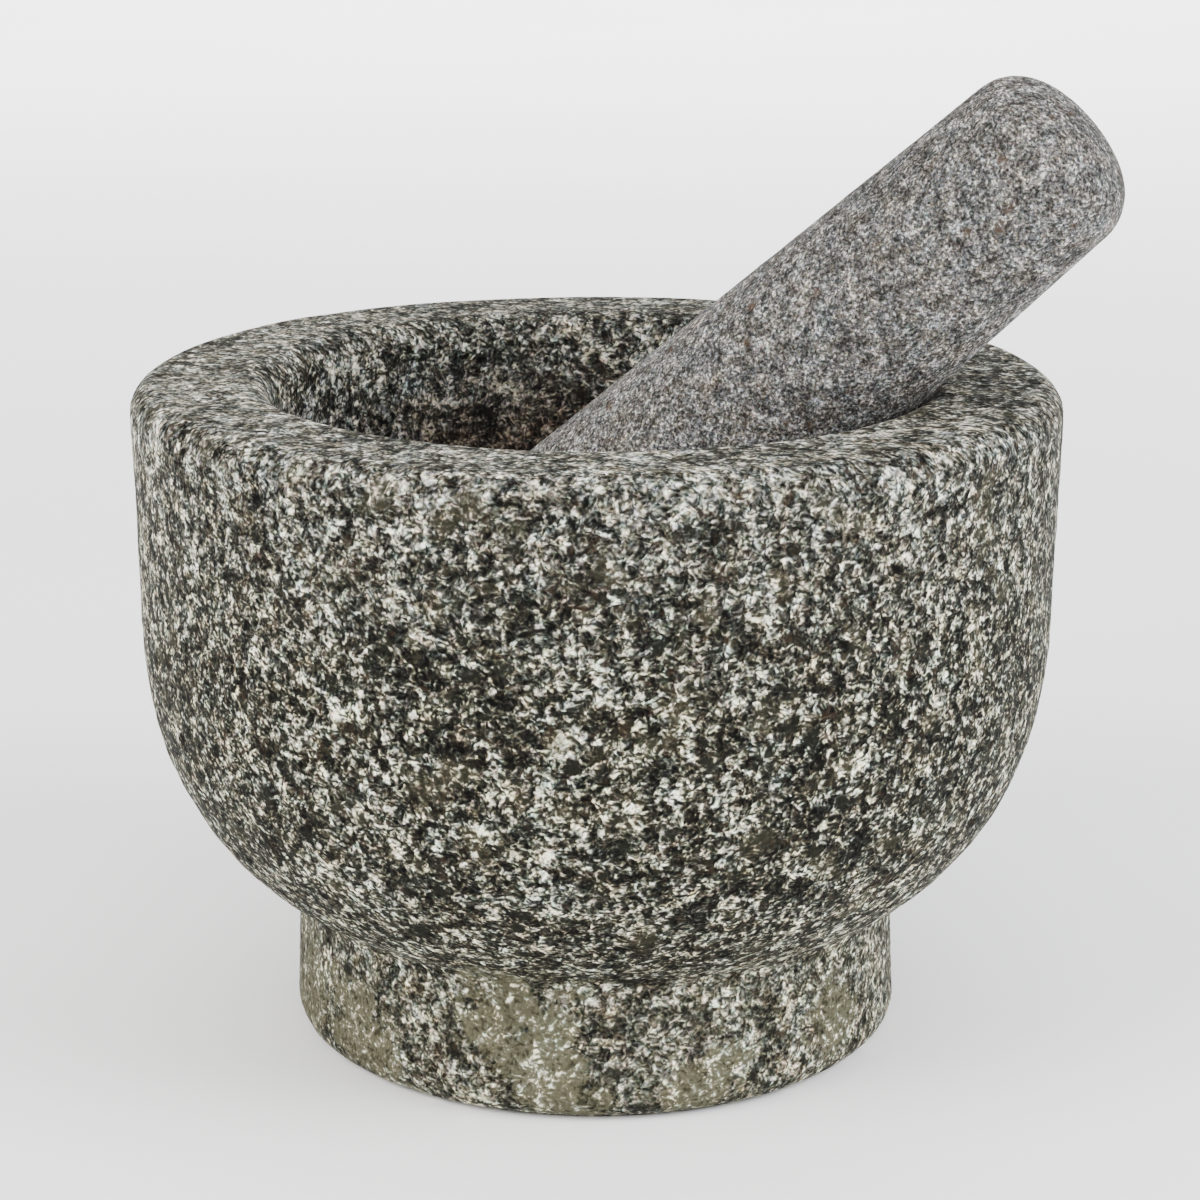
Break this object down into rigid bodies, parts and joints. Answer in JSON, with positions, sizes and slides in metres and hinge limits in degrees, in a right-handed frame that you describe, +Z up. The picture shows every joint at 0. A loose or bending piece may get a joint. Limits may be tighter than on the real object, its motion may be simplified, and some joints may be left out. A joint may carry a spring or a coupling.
{
  "type": "mortar and pestle",
  "caption": "Round granite mortar with a thick flat rim, deep bowl and short solid foot, and a loose tapered stone pestle leaning on the rim.",
  "frame": {"origin": "centre of the mortar's flat round underside, on its axis of revolution", "axes": "+Z up along the mortar's axis of revolution; +X to the side the pestle's handle leans over; +Y to the back, away from the side the pestle swings toward"},
  "size_m": [0.1864, 0.18, 0.1912],
  "materials": {
    "speckled_granite": "matte",
    "pale_granite": "matte"
  },
  "bodies": {
    "mortar": {"mortar": "speckled_granite"},
    "pestle": {"pestle": "pale_granite"}
  },
  "joints": [
    {"name": "pestle_lift", "type": "slide", "parent": "mortar", "child": "pestle", "axis": [0, 0, 1], "range_m": [0, 0.12]}
  ]
}
